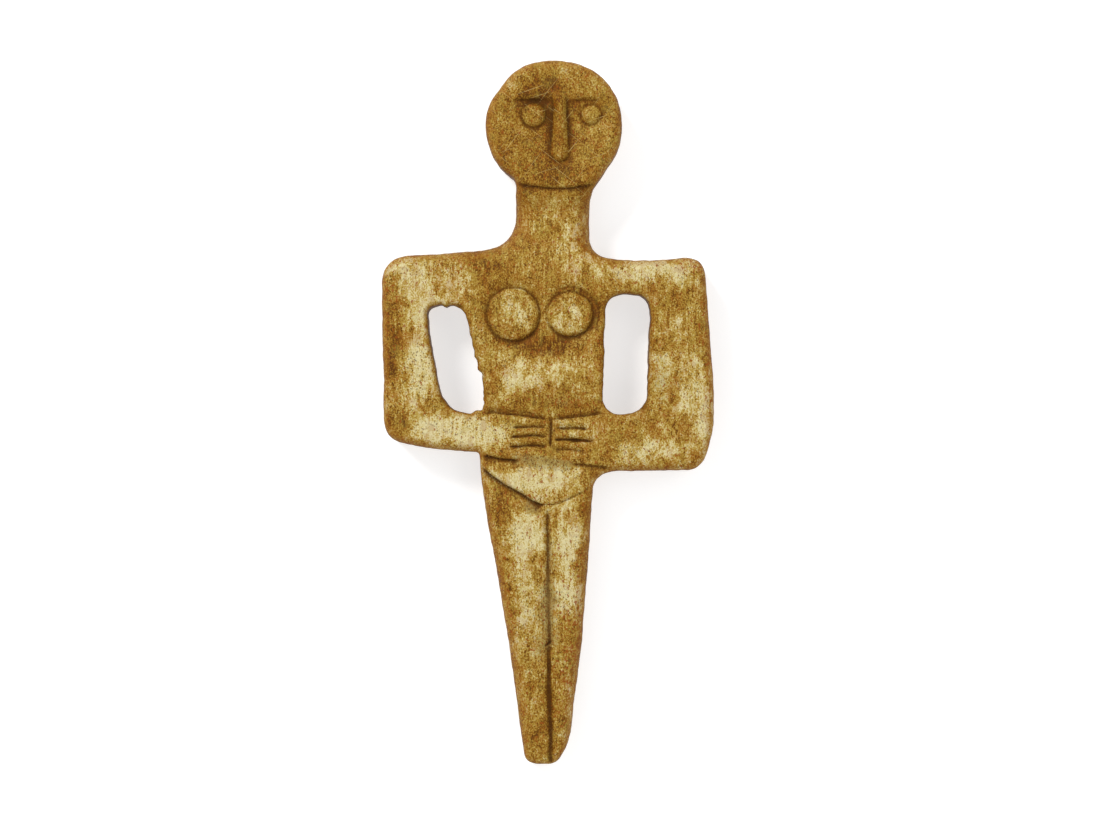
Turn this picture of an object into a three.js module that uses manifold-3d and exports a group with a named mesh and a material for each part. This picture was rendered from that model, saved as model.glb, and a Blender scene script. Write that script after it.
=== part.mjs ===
// A small idol carved from one flat piece of bone, lying on its back. It has a round head on a tall neck,
// arms bent to the belly with an opening inside each elbow, and legs that run together to a blunt point.
//
// Lengths are in millimetres. The face looks up, along +Z, the head points along +Y, and +X is to the right
// of someone who looks down at the face, which is also what "right" means below. The back rests at z = 0.
// Places along the figure are first counted up from the tip of the feet, and at the end the figure is moved
// so that the origin is on the back, under the middle of its length and of its width.

import * as THREE from "three";
import { mergeVertices } from "three/addons/utils/BufferGeometryUtils.js";
import Module from "manifold-3d";

const wasm = await Module();
wasm.setup();

// Lengths of the members, from the feet to the crown.
const LEG_LENGTH = 50;
const TRUNK_LENGTH = 36.7;
const NECK_LENGTH = 11.3;
const HEAD_HEIGHT = 22;

// Widths, seen from the front.
const HEAD_WIDTH = 23.2;
const NECK_WIDTH = 12.5;
const SHOULDER_SPAN = 54.8;
const ELBOW_SPAN = 56.8;
const HIP_WIDTH = 18.8;
const CALF_WIDTH = 13;
const FEET_WIDTH = 8.1;

// The arms are cut by eye, so the two sides differ.
const LEFT_SHOULDER_DEPTH = 8.3;
const LEFT_ARM_WIDTH = 7.8;
const LEFT_FOREARM_DEPTH = 6.8;
const LEFT_ELBOW_LIFT = 5.8;
const RIGHT_SHOULDER_DEPTH = 6;
const RIGHT_ARM_WIDTH = 9.9;
const RIGHT_FOREARM_DEPTH = 9.8;
const LEFT_OPENING_WIDTH = 7.2;
const RIGHT_OPENING_WIDTH = 7.7;

// Where the outline is widest over the hips, and how far its two longest roundings reach.
const ELBOW_RISE = 12;
const ELBOW_ROUNDING = 5;
const CALF_ROUNDING = 9;

// How far each member's middle stands to the right of the middle line.
const HEAD_SHIFT = 1;
const FACE_SHIFT = 2;
const NECK_SHIFT = 0.9;
const HIP_SHIFT = -1.7;
const CALF_SHIFT = -0.5;
const FEET_SHIFT = -0.3;

// Thicknesses, and the rounding of the edges.
const BODY_THICKNESS = 8.8;
const HEAD_THICKNESS = 9.4;
const NECK_THICKNESS = 8;
const FEET_THICKNESS = 6;
const BODY_EDGE = 1.7;
const NECK_EDGE = 3.6;
const LEG_EDGE = 2.4;
const FEET_EDGE = 1.2;
const OPENING_EDGE = 1;
const BACK_EDGE = 1.3;

// Carving of the head.
const CROWN_FLAT = 0.6;
const FACE_DISH = 0.9;
const BROW_CUT = 0.6;
const CHIN_STEP = 1.1;
const EYE_SPACING = 9.7;
const LEFT_EYE_RADIUS = 2.1;
const RIGHT_EYE_RADIUS = 1.7;
const EYE_CUT = 0.7;
const NOSE_WIDTH = 2.9;
const NOSE_LENGTH = 10.2;

// Carving of the body.
const BELLY_DROP = 10.5;
const BELLY_HALF_WIDTH = 5.5;
const BELLY_HALF_HEIGHT = 3.4;
const LEFT_BREAST_RADIUS = 4.4;
const RIGHT_BREAST_RADIUS = 3.9;
const BREAST_SPACING = 9.6;
const BREAST_HEIGHT = 0.8;
const FINGER_PITCH = 1.6;
const FINGER_LENGTH = 6.8;
const FINGER_CUT = 0.5;
const HAND_STEP = 0.8;
const APRON_STEP = 0.9;
const APRON_DROP = 5.8;
const THIGH_GROOVE_WIDTH = 0.7;
const SHIN_GROOVE_WIDTH = 1.4;
const LEG_GROOVE_DEPTH = 0.9;
const BACK_CUT = 0.6;

// How fine the facets are.
const OUTLINE_STEP = 0.7;
const OUTLINE_SLACK = 0.025;
const SURFACE_STEP = 3;
const FACE_STEP = 1.7;
const HALVING_ROUNDS = 10;
const TURNING_ROUNDS = 40;
const EDGE_BANDS = 3;
const BACK_BANDS = 2;

const HIP_LINE = LEG_LENGTH;
const SHOULDER_LINE = HIP_LINE + TRUNK_LENGTH;
const CHIN_LINE = SHOULDER_LINE + NECK_LENGTH;
const HEAD_MIDDLE = CHIN_LINE + HEAD_HEIGHT / 2;
const CALF_LINE = LEG_LENGTH * 0.46;
const BROW_LINE = HEAD_MIDDLE + HEAD_HEIGHT * 0.19;
const BREAST_LINE = SHOULDER_LINE - TRUNK_LENGTH * 0.27;
const HAND_TOP = HIP_LINE + TRUNK_LENGTH * 0.245;

const { smoothstep, lerp } = THREE.MathUtils;

// 1 at the middle of a soft round swelling, and falling to 0 around it.
function swelling(x, y, middleX, middleY, reachX, reachY) {
  return Math.exp(-(((x - middleX) / reachX) ** 2) - ((y - middleY) / reachY) ** 2);
}

// How deep the hollow of the face is: deepest along the nose and under the brows, and level at the rim.
function faceDish(x, y) {
  const across = (x - FACE_SHIFT) / (HEAD_WIDTH * 0.42);
  const along = (y - HEAD_MIDDLE) / (HEAD_HEIGHT * 0.43);
  const below = 1 - 0.6 * smoothstep(y, BROW_LINE - 1, BROW_LINE + 1.5);
  return FACE_DISH * below * (1 - smoothstep(Math.hypot(across, along), 0.15, 1));
}

// Height of the front surface before any line is cut in it.
function frontHeight(x, y) {
  let z = lerp(FEET_THICKNESS, BODY_THICKNESS, smoothstep(y, -0.4 * LEG_LENGTH, LEG_LENGTH));
  z = lerp(z, NECK_THICKNESS, smoothstep(y, SHOULDER_LINE - 3, SHOULDER_LINE + 4));
  z = lerp(z, HEAD_THICKNESS, smoothstep(y, CHIN_LINE - 4, CHIN_LINE));
  const trunk = HIP_SHIFT / 2;
  z -= 0.45 * swelling(x, y, trunk, HAND_TOP + 7, 8.5, 7);
  z -= 0.6 * swelling(x, y, trunk, BREAST_LINE - 5.6, 8, 2.8);
  z += 0.45 * swelling(x, y, trunk + 1.5, BREAST_LINE - BELLY_DROP, BELLY_HALF_WIDTH, BELLY_HALF_HEIGHT);
  return z - faceDish(x, y);
}

// How far the rounding of the outer edge reaches in from the outline.
function edgeReach(y) {
  const underChin = 1 - smoothstep(y, CHIN_LINE - 4, CHIN_LINE + 2);
  const onNeck = smoothstep(y, SHOULDER_LINE - 1, SHOULDER_LINE + 4) * underChin;
  const onLegs = 1 - smoothstep(y, HIP_LINE - 14, HIP_LINE - 2);
  const legEdge = lerp(FEET_EDGE, LEG_EDGE, smoothstep(y, 0, 8));
  return lerp(lerp(BODY_EDGE, legEdge, onLegs), NECK_EDGE, onNeck);
}

// A closed loop from its corners, each [x, y, how far its rounding reaches along both sides].
function roundedLoop(corners) {
  const at = (i) => new THREE.Vector2(...corners[(i + corners.length) % corners.length].slice(0, 2));
  const path = new THREE.Path();
  corners.forEach(([, , reach], i) => {
    const corner = at(i);
    const before = at(i - 1).sub(corner);
    const after = at(i + 1).sub(corner);
    const start = before.clone().setLength(Math.min(reach, before.length() * 0.49)).add(corner);
    const end = after.clone().setLength(Math.min(reach, after.length() * 0.49)).add(corner);
    if (i === 0) path.moveTo(start.x, start.y);
    else path.lineTo(start.x, start.y);
    path.quadraticCurveTo(corner.x, corner.y, end.x, end.y);
  });
  path.closePath();
  const points = path.getSpacedPoints(Math.round(path.getLength() / OUTLINE_STEP));
  points.pop();
  return thinned(points);
}

// Leaves out the points of a loop that a straight line to the next one kept would pass closely enough.
function thinned(points) {
  const kept = [points[0]];
  let from = 0;
  for (let to = from + 2; to <= points.length; to++) {
    const start = points[from];
    const end = points[to % points.length];
    const chord = end.clone().sub(start);
    const off = (point) => Math.abs(chord.cross(point.clone().sub(start))) / chord.length();
    const close = points.slice(from + 1, to).every((point) => off(point) < OUTLINE_SLACK);
    if (close && chord.length() < SURFACE_STEP) continue;
    from = to - 1;
    kept.push(points[from]);
  }
  return kept;
}

// The head's round, from where it leaves the right side of the neck to the left side. It is a little squarer
// than an ellipse, and flattened on the left of the crown. It leaves the right side later, so that jaw
// slants more.
function headCorners() {
  const corners = [];
  const down = -Math.PI / 2;
  const chinGap = Math.asin(NECK_WIDTH / HEAD_WIDTH);
  const count = 30;
  const fuller = (share) => Math.sign(share) * Math.abs(share) ** 0.93;
  for (let i = 0; i <= count; i++) {
    const turn = lerp(down + chinGap + 0.32, down + 2 * Math.PI - chinGap - 0.14, i / count);
    const flat = CROWN_FLAT * Math.exp(-(((turn - 2.5) / 0.3) ** 2));
    const x = HEAD_SHIFT + (HEAD_WIDTH / 2 - flat) * fuller(Math.cos(turn));
    corners.push([x, HEAD_MIDDLE + (HEAD_HEIGHT / 2 - flat) * fuller(Math.sin(turn)), 0.9]);
  }
  return corners;
}

// The outline, anticlockwise from the tip of the feet.
function outline() {
  const elbow = ELBOW_SPAN / 2;
  const shoulder = SHOULDER_SPAN / 2;
  const hip = (side) => HIP_SHIFT + (side * HIP_WIDTH) / 2;
  const calf = (side) => CALF_SHIFT + (side * CALF_WIDTH) / 2;
  const feet = (side) => FEET_SHIFT + (side * FEET_WIDTH) / 2;
  const neck = (side) => NECK_SHIFT + (side * NECK_WIDTH) / 2;
  const headHalf = HEAD_WIDTH / 2;
  const jaw = (side) => {
    const across = (neck(side) - HEAD_SHIFT) / headHalf;
    return HEAD_MIDDLE - (HEAD_HEIGHT / 2) * Math.sqrt(1 - across ** 2);
  };
  return roundedLoop([
    [feet(-1) + 0.6, 0, 3],
    [feet(1) - 0.27 * FEET_WIDTH, 0.1, 1.6],
    [feet(1), 0.52 * FEET_WIDTH, 2.4],
    [calf(1), CALF_LINE, CALF_ROUNDING],
    [hip(1) - 0.25, HIP_LINE - 7, 3],
    [hip(1), HIP_LINE + 0.2, 4.8],
    [elbow - 2.7, HIP_LINE + 0.2, 2.4],
    [elbow - 0.6, HIP_LINE + 4.6, 3],
    [elbow, HIP_LINE + ELBOW_RISE, ELBOW_ROUNDING],
    [shoulder - 0.8, SHOULDER_LINE, 3.6],
    [shoulder * 0.56, SHOULDER_LINE - 1, 5.5],
    [neck(1), SHOULDER_LINE, 3.4],
    [neck(1), jaw(1) - 2.2, 2],
    ...headCorners(),
    [neck(-1) - 0.1, jaw(-1) - 0.2, 1.6],
    [neck(-1), SHOULDER_LINE + 1.4, 7],
    [-elbow, SHOULDER_LINE - 0.2, 4.9],
    [-elbow + 0.5, HIP_LINE + LEFT_ELBOW_LIFT, 3.4],
    [-elbow * 0.78, HIP_LINE + LEFT_ELBOW_LIFT - 1.6, 3],
    [hip(-1) - 0.6, HIP_LINE + 3.3, 0.7],
    [hip(-1) - 0.5, HIP_LINE + 1, 2],
    [hip(-1) + 0.3, HIP_LINE - 5.6, 4],
    [calf(-1), CALF_LINE, CALF_ROUNDING],
    [feet(-1), 3.4, 2],
  ]);
}

// The opening inside each elbow, clockwise, so that the bone is on the left of its path as it is on the
// outline's.
function openings() {
  const elbow = ELBOW_SPAN / 2;
  const leftTop = SHOULDER_LINE - LEFT_SHOULDER_DEPTH;
  const leftFoot = HIP_LINE + 3.3 + LEFT_FOREARM_DEPTH;
  const leftEdge = -elbow + LEFT_ARM_WIDTH;
  const leftSlant = 4.6;
  const left = [
    [leftEdge, leftTop, 2.6],
    [leftEdge + 0.9 * LEFT_OPENING_WIDTH, leftTop, 3],
    [leftEdge + LEFT_OPENING_WIDTH + 0.6, lerp(leftFoot, leftTop, 0.6), 4],
    [leftEdge + LEFT_OPENING_WIDTH + 2.6, lerp(leftFoot, leftTop, 0.24), 2.4],
    [leftEdge + LEFT_OPENING_WIDTH + 2.6, leftFoot, 3],
    [leftEdge + leftSlant, leftFoot, 2],
    [leftEdge + leftSlant / 2, lerp(leftFoot, leftTop, 0.16), 0.9],
    [leftEdge + 0.1, lerp(leftFoot, leftTop, 0.78), 3],
  ];
  const rightTop = SHOULDER_LINE - 0.4 - RIGHT_SHOULDER_DEPTH;
  const rightFoot = HIP_LINE + RIGHT_FOREARM_DEPTH;
  const rightEdge = SHOULDER_SPAN / 2 - RIGHT_ARM_WIDTH;
  const right = [
    [rightEdge - RIGHT_OPENING_WIDTH, rightTop, 3.2],
    [rightEdge, rightTop, 3.2],
    [rightEdge - 0.7, rightFoot, 3.8],
    [rightEdge - RIGHT_OPENING_WIDTH - 0.6, rightFoot, 3.6],
  ];
  return [roundedLoop(left), roundedLoop(right)];
}

// The loop moved into the bone, which lies on the left of its direction, by a distance that may vary.
function inset(loop, distance) {
  return loop.map((point, i) => {
    const before = loop[(i + loop.length - 1) % loop.length];
    const after = loop[(i + 1) % loop.length];
    const along = after.clone().sub(before).normalize();
    const reach = distance(point);
    return new THREE.Vector2(point.x - along.y * reach, point.y + along.x * reach);
  });
}

// Every edge of a flat triangle mesh that two triangles share, as [corner, corner, triangle, triangle].
function sharedEdges(triangles) {
  const first = new Map();
  const shared = [];
  triangles.forEach((corners, t) => {
    for (let k = 0; k < 3; k++) {
      const a = corners[k];
      const b = corners[(k + 1) % 3];
      const key = Math.min(a, b) + ":" + Math.max(a, b);
      if (first.has(key)) shared.push([a, b, first.get(key), t]);
      else first.set(key, t);
    }
  });
  return shared;
}

// The corner of a triangle that isn't on the edge from a to b.
const farCorner = (triangle, a, b) => triangle.find((corner) => corner !== a && corner !== b);

// Halves the inner edges that are too long for where they are, each with both of its triangles.
function halveLongEdges(points, triangles) {
  const touched = new Set();
  const length = ([a, b]) => points[a].distanceTo(points[b]);
  const step = ([a, b]) => (points[a].y + points[b].y > 2 * CHIN_LINE ? FACE_STEP : SURFACE_STEP);
  const long = sharedEdges(triangles).filter((edge) => length(edge) > step(edge));
  long.sort((one, other) => length(other) - length(one));
  for (const [a, b, s, t] of long) {
    if (touched.has(s) || touched.has(t)) continue;
    touched.add(s).add(t);
    const c = farCorner(triangles[t], a, b);
    const d = farCorner(triangles[s], a, b);
    const middle = points.push(points[a].clone().lerp(points[b], 0.5)) - 1;
    triangles[t] = [a, middle, c];
    triangles[s] = [b, middle, d];
    triangles.push([middle, b, c], [middle, a, d]);
  }
}

// Turns each inner edge that makes two thin triangles, round after round while a turn still helps.
function turnThinPairs(points, triangles) {
  const angle = (at, p, q) => {
    const u = points[p].clone().sub(points[at]);
    const v = points[q].clone().sub(points[at]);
    return Math.atan2(Math.abs(u.cross(v)), u.dot(v));
  };
  for (let round = 0; round < TURNING_ROUNDS; round++) {
    const touched = new Set();
    for (const [a, b, s, t] of sharedEdges(triangles)) {
      if (touched.has(s) || touched.has(t)) continue;
      const c = farCorner(triangles[t], a, b);
      const d = farCorner(triangles[s], a, b);
      if (angle(c, a, b) + angle(d, a, b) < Math.PI + 1e-3) continue;
      triangles[t] = [a, d, c];
      triangles[s] = [d, b, c];
      touched.add(s).add(t);
    }
    if (touched.size === 0) return;
  }
}

// Fills loops with triangles, with points inside where the surface between them has to bend.
function fill(loops) {
  const points = loops.flat();
  const triangles = THREE.ShapeUtils.triangulateShape(loops[0], loops.slice(1));
  turnThinPairs(points, triangles);
  for (let round = 0; round < HALVING_ROUNDS; round++) {
    halveLongEdges(points, triangles);
    turnThinPairs(points, triangles);
  }
  return { points, triangles };
}

// The blank: the outline and its openings at full thickness, with every edge rounded.
function blankGeometry() {
  const loops = [outline(), ...openings()];
  const reach = (loop) => (loop === loops[0] ? (point) => edgeReach(point.y) : () => OPENING_EDGE);
  const positions = [];
  const indices = [];
  const add = (point, z) => positions.push(point.x, point.y, z) / 3 - 1;

  const ring = (points, height) => points.map((point) => add(point, height(point)));
  const bands = (lower, upper) => {
    lower.forEach((_, i) => {
      const j = (i + 1) % lower.length;
      indices.push(lower[i], lower[j], upper[j], lower[i], upper[j], upper[i]);
    });
  };
  const quarter = (count, i) => ((i / count) * Math.PI) / 2;

  const backLoops = [];
  const frontLoops = [];
  for (const loop of loops) {
    const rings = [];
    for (let i = BACK_BANDS; i >= 0; i--) {
      const turn = quarter(BACK_BANDS, i);
      const points = inset(loop, () => BACK_EDGE * (1 - Math.cos(turn)));
      rings.push(ring(points, () => BACK_EDGE * (1 - Math.sin(turn))));
      if (i === BACK_BANDS) backLoops.push({ points, ids: rings[0] });
    }
    for (let i = 0; i <= EDGE_BANDS; i++) {
      const turn = quarter(EDGE_BANDS, i);
      const points = inset(loop, (point) => reach(loop)(point) * (1 - Math.cos(turn)));
      const drop = (point) => reach(loop)(point) * (1 - Math.sin(turn));
      rings.push(ring(points, (point) => frontHeight(point.x, point.y) - drop(point)));
      if (i === EDGE_BANDS) frontLoops.push({ points, ids: rings.at(-1) });
    }
    rings.slice(1).forEach((upper, i) => bands(rings[i], upper));
  }

  const backIds = backLoops.flatMap((loop) => loop.ids);
  const [backOutline, ...backHoles] = backLoops.map((loop) => loop.points);
  for (const [a, b, c] of THREE.ShapeUtils.triangulateShape(backOutline, backHoles)) {
    indices.push(backIds[a], backIds[c], backIds[b]);
  }

  const front = fill(frontLoops.map((loop) => loop.points));
  const frontIds = frontLoops.flatMap((loop) => loop.ids);
  for (const point of front.points.slice(frontIds.length)) {
    frontIds.push(add(point, frontHeight(point.x, point.y)));
  }
  for (const [a, b, c] of front.triangles) indices.push(frontIds[a], frontIds[b], frontIds[c]);

  const geometry = new THREE.BufferGeometry();
  geometry.setAttribute("position", new THREE.Float32BufferAttribute(positions, 3));
  geometry.setIndex(indices);
  return geometry;
}

// A closed geometry as a solid that can be cut and joined.
function solidOf(geometry) {
  geometry.deleteAttribute("normal");
  geometry.deleteAttribute("uv");
  const merged = mergeVertices(geometry, 1e-4);
  return new wasm.Manifold(
    new wasm.Mesh({
      numProp: 3,
      vertProperties: merged.attributes.position.array,
      triVerts: new Uint32Array(merged.index.array),
    }),
  );
}

function geometryOf(solid) {
  const { vertProperties, triVerts } = solid.getMesh();
  const geometry = new THREE.BufferGeometry();
  geometry.setAttribute("position", new THREE.BufferAttribute(vertProperties, 3));
  geometry.setIndex(new THREE.BufferAttribute(triVerts, 1));
  return geometry;
}

// One cut of a chisel along a path on the front: a trough whose walls meet at its floor. Each wall starts at
// its own distance from the path, so a narrow wall beside a wide one leaves a step. The left wall is on the
// left of the path's direction. The cut runs out at both ends.
function chiselCut({ path, depth, left, right, surface = frontHeight, up = 1, step = 1 }) {
  const points = path.map(([x, y]) => new THREE.Vector3(x, y, 0));
  const curve = new THREE.CatmullRomCurve3(points, false, "centripetal");
  const length = curve.getLength();
  const count = Math.max(4, Math.round(length / step));
  const overcut = 0.8;
  const positions = [];
  for (let i = 0; i <= count; i++) {
    const share = i / count;
    const point = curve.getPointAt(share);
    const along = curve.getTangentAt(share);
    const runOut = Math.min(1, 0.15 + (length * Math.min(share, 1 - share)) / 1.6);
    const z = surface(point.x, point.y);
    const opened = (depth * runOut + overcut) / depth;
    const top = z + up * overcut;
    const wall = (reach) => [point.x - along.y * reach * opened, point.y + along.x * reach * opened, top];
    positions.push(...wall(left), point.x, point.y, z - up * depth * runOut, ...wall(-right));
  }
  const indices = [];
  for (let i = 0; i < count; i++) {
    const a = 3 * i;
    const b = a + 3;
    for (let k = 0; k < 3; k++) {
      const l = (k + 1) % 3;
      indices.push(a + k, b + l, a + l, a + k, b + k, b + l);
    }
  }
  const last = 3 * count;
  indices.push(0, 1, 2, last, last + 2, last + 1);
  if (up < 0) indices.reverse();
  const geometry = new THREE.BufferGeometry();
  geometry.setAttribute("position", new THREE.Float32BufferAttribute(positions, 3));
  geometry.setIndex(indices);
  return solidOf(geometry);
}

// A solid turned from half its section, as [radius, height] from its foot on the axis to its top on the axis.
function turned(x, y, z, section, sides) {
  const geometry = new THREE.LatheGeometry(section.map((point) => new THREE.Vector2(...point)), sides);
  geometry.rotateX(Math.PI / 2);
  geometry.translate(x, y, z);
  return solidOf(geometry);
}

// What is cut away for a round boss to stand in: a flat floor as wide as the boss, and a slope up from it.
function hollow(x, y, radius, depth, slope, sides) {
  const above = 0.8;
  const rim = radius + slope * (1 + above / depth);
  const section = [[0, -depth], [radius, -depth], [rim, above], [0, above]];
  return turned(x, y, frontHeight(x, y), section, sides);
}

// A low round boss with a soft crown, its foot well below the floor it stands on.
function boss(x, y, z, radius, height, sides) {
  const root = 1.6;
  const section = [
    [0, -root],
    [radius, -root],
    [radius, 0.35 * height],
    [0.86 * radius, 0.8 * height],
    [0.5 * radius, height],
    [0, height],
  ];
  return turned(x, y, z, section, sides);
}

// The face: a nose that stands in the hollow, a trough down each side of it, two brow cuts and two eyes.
function carveFace(solid) {
  const side = NOSE_WIDTH * 0.42;
  const noseTip = BROW_LINE - NOSE_LENGTH;
  const troughs = [
    [[FACE_SHIFT - side * 1.15, noseTip + 1.2], [FACE_SHIFT - side, BROW_LINE]],
    [[FACE_SHIFT + side, BROW_LINE], [FACE_SHIFT + side * 1.15, noseTip + 1.2]],
  ];
  for (const path of troughs) {
    solid = solid.subtract(chiselCut({ path, depth: 0.35, left: 1.5, right: 0.3 }));
  }

  // The upper wall of a brow is steep, and from its foot the eye's hollow slopes up to the cheek.
  const brow = { depth: BROW_CUT, left: 0.25, right: 2 };
  const leftBrow = [
    [FACE_SHIFT - HEAD_WIDTH * 0.37, BROW_LINE - 0.1],
    [FACE_SHIFT - HEAD_WIDTH * 0.2, BROW_LINE + 0.2],
    [FACE_SHIFT - side, BROW_LINE],
  ];
  const rightBrow = [
    [FACE_SHIFT + side, BROW_LINE],
    [FACE_SHIFT + HEAD_WIDTH * 0.2, BROW_LINE + 0.1],
    [FACE_SHIFT + HEAD_WIDTH * 0.33, BROW_LINE + 0.2],
  ];
  for (const path of [leftBrow, rightBrow]) solid = solid.subtract(chiselCut({ path, ...brow }));

  const eyes = [
    [FACE_SHIFT + 0.45 - EYE_SPACING / 2, LEFT_EYE_RADIUS],
    [FACE_SHIFT + 0.45 + EYE_SPACING / 2, RIGHT_EYE_RADIUS],
  ];
  for (const [x, radius] of eyes) {
    const y = BROW_LINE - 2.4;
    solid = solid.subtract(hollow(x, y, radius, EYE_CUT, 0.4, 18));
    solid = solid.add(boss(x, y, frontHeight(x, y) - EYE_CUT, radius * 0.97, EYE_CUT * 1.15, 18));
  }

  const wing = NOSE_WIDTH / 2;
  const noseSection = [
    [0, 0],
    [0.55 * wing, 0.2 * wing],
    [0.9 * wing, 0.7 * wing],
    [wing, 1.5 * wing],
    [0.92 * wing, 0.5 * NOSE_LENGTH],
    [0.8 * wing, NOSE_LENGTH],
    [0, NOSE_LENGTH + 3 * wing],
  ].map(([r, h]) => new THREE.Vector2(r, h));
  const nose = new THREE.LatheGeometry(noseSection, 16);
  nose.scale(1, 1, 0.8);
  nose.translate(FACE_SHIFT, noseTip, HEAD_THICKNESS - 0.86 * wing);
  return solid.add(solidOf(nose));
}

// The chin: the lower rim of the head stands over the neck, right across it.
function carveChin(solid) {
  const half = NECK_WIDTH * 0.6;
  const path = [
    [NECK_SHIFT - half, CHIN_LINE + 1.5],
    [NECK_SHIFT - half / 2, CHIN_LINE + 0.5],
    [NECK_SHIFT, CHIN_LINE + 0.2],
    [NECK_SHIFT + half / 2, CHIN_LINE + 0.6],
    [NECK_SHIFT + half, CHIN_LINE + 1.7],
  ];
  return solid.subtract(chiselCut({ path, depth: CHIN_STEP, left: 0.3, right: 4, step: 1.3 }));
}

// The breasts: a round boss each, in a hollow that is cut round it.
function carveBreasts(solid) {
  const middle = HIP_SHIFT * 0.62;
  const y = BREAST_LINE;
  const sides = [
    [middle - BREAST_SPACING / 2, LEFT_BREAST_RADIUS],
    [middle + BREAST_SPACING / 2, RIGHT_BREAST_RADIUS],
  ];
  for (const [x, radius] of sides) solid = solid.subtract(hollow(x, y, radius, BREAST_HEIGHT, 1.9, 32));
  for (const [x, radius] of sides) {
    const z = frontHeight(x, y) - BREAST_HEIGHT;
    solid = solid.add(boss(x, y, z, radius * 0.98, BREAST_HEIGHT * 1.3, 32));
  }
  return solid;
}

// The hands: flat bands that stand over the belly, with a cut between the fingertips and between the fingers.
function carveHands(solid) {
  const tips = 0.4;
  const wristSpan = FINGER_LENGTH * 1.65;
  // A place so many wrist spans to the right of the fingertips, and so far above the top of the hands.
  const at = (spans, above) => [tips + wristSpan * spans, HAND_TOP + above];
  const onTop = { depth: HAND_STEP, left: 0.3, right: 2.8 };
  const cuts = [
    { ...onTop, path: [at(0, -0.2), at(-0.6, 0.7), at(-1, 1)] },
    { ...onTop, path: [at(0.86, 0.9), at(0.5, 0.5), at(0, -0.2)] },
    // Under the left wrist, and under the right one.
    { depth: HAND_STEP, left: 0.3, right: 2.2, path: [at(-1.08, -6), at(-0.5, -6.7)] },
    { depth: HAND_STEP * 0.6, left: 0.3, right: 1.2, path: [at(0.3, -7.6), at(0.9, -8.1)] },
    // Between the fingertips.
    { depth: FINGER_CUT * 1.2, left: 0.4, right: 0.4, path: [at(0, 0.2), at(0, -3.3 * FINGER_PITCH)] },
  ];
  for (const hand of [-1, 1]) {
    const root = tips + hand * FINGER_LENGTH;
    for (let finger = 1; finger <= 3; finger++) {
      const y = HAND_TOP + 0.3 - finger * FINGER_PITCH - (hand > 0 ? 0.4 : 0);
      const path = [[tips + hand * 0.2, y], [root, y - 0.15]];
      cuts.push({ depth: FINGER_CUT, left: 0.4, right: 0.4, path });
    }
  }
  for (const cut of cuts) solid = solid.subtract(chiselCut({ step: 1.4, ...cut }));
  return solid;
}

// The apron over the hips stands over the left thigh, and only a thin line parts it from the right one.
function carveApron(solid) {
  const left = HIP_SHIFT - HIP_WIDTH / 2;
  const right = HIP_SHIFT + HIP_WIDTH / 2;
  const tip = [HIP_SHIFT + 1.3, HIP_LINE - APRON_DROP];
  const thigh = {
    path: [
      [left - 0.4, HIP_LINE + 1.4],
      [left + 3.4, HIP_LINE - 1.6],
      [left + 7, HIP_LINE - 4],
      tip,
    ],
    depth: APRON_STEP,
    left: 0.3,
    right: 3.6,
  };
  const line = {
    path: [
      [tip[0] - 1.4, tip[1] + 0.1],
      [tip[0] + 2, tip[1] + 0.4],
      [right - 3.2, HIP_LINE - 3.9],
      [right, HIP_LINE - 2.2],
    ],
    depth: APRON_STEP * 0.4,
    left: 0.2,
    right: 0.3,
  };
  return solid.subtract(chiselCut(thigh)).subtract(chiselCut(line));
}

// The line between the legs: narrow down to the knees, then a wide groove to the tip of the feet.
function carveLegLine(solid) {
  const start = HIP_LINE - APRON_DROP - 0.4;
  const knee = CALF_LINE - 1.8;
  const thigh = {
    width: THIGH_GROOVE_WIDTH,
    depth: LEG_GROOVE_DEPTH * 0.55,
    path: [[-0.2, start], [0, knee + 8], [0.2, knee - 1]],
  };
  const shin = {
    width: SHIN_GROOVE_WIDTH,
    depth: LEG_GROOVE_DEPTH,
    path: [[-0.5, knee + 0.6], [0.1, knee - 0.8], [0.3, knee / 2], [0.5, -2]],
  };
  for (const { width, ...cut } of [thigh, shin]) {
    solid = solid.subtract(chiselCut({ ...cut, left: width / 2, right: width / 2, step: 2.5 }));
  }
  return solid;
}

// The back is flat, with one shallow line down the spine, one under the seat and one between the legs.
function carveBack(solid) {
  const cut = { up: -1, surface: () => 0, depth: BACK_CUT, left: 0.7, right: 0.7, step: 4 };
  const spine = [
    [NECK_SHIFT * 0.6, SHOULDER_LINE - 2],
    [0, SHOULDER_LINE - TRUNK_LENGTH / 2],
    [HIP_SHIFT * 0.6, HIP_LINE + 6],
  ];
  const seat = [
    [HIP_SHIFT - 5.6, HIP_LINE - 3],
    [HIP_SHIFT, HIP_LINE - 4.6],
    [HIP_SHIFT + 5.6, HIP_LINE - 3],
  ];
  const legs = [[HIP_SHIFT * 0.5, HIP_LINE - 4.8], [0, CALF_LINE], [0.3, 4]];
  for (const path of [spine, seat, legs]) solid = solid.subtract(chiselCut({ ...cut, path }));
  return solid;
}

function figurineMesh() {
  let solid = solidOf(blankGeometry());
  for (const carve of [carveChin, carveFace, carveBreasts, carveHands, carveApron, carveLegLine, carveBack]) {
    solid = carve(solid);
  }
  const bone = new THREE.MeshStandardMaterial({ color: 0xa8824a, roughness: 0.6, metalness: 0 });
  const geometry = geometryOf(solid);
  geometry.computeBoundingBox();
  const middle = geometry.boundingBox.getCenter(new THREE.Vector3());
  const mesh = new THREE.Mesh(geometry, bone);
  mesh.name = "figurine";
  mesh.position.set(-middle.x, -middle.y, 0);
  return mesh;
}

const idol = new THREE.Group();
idol.add(figurineMesh());

export default idol;
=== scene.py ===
import math

import bpy
import numpy as np
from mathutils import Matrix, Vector, kdtree, noise
from mathutils.geometry import delaunay_2d_cdt


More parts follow.
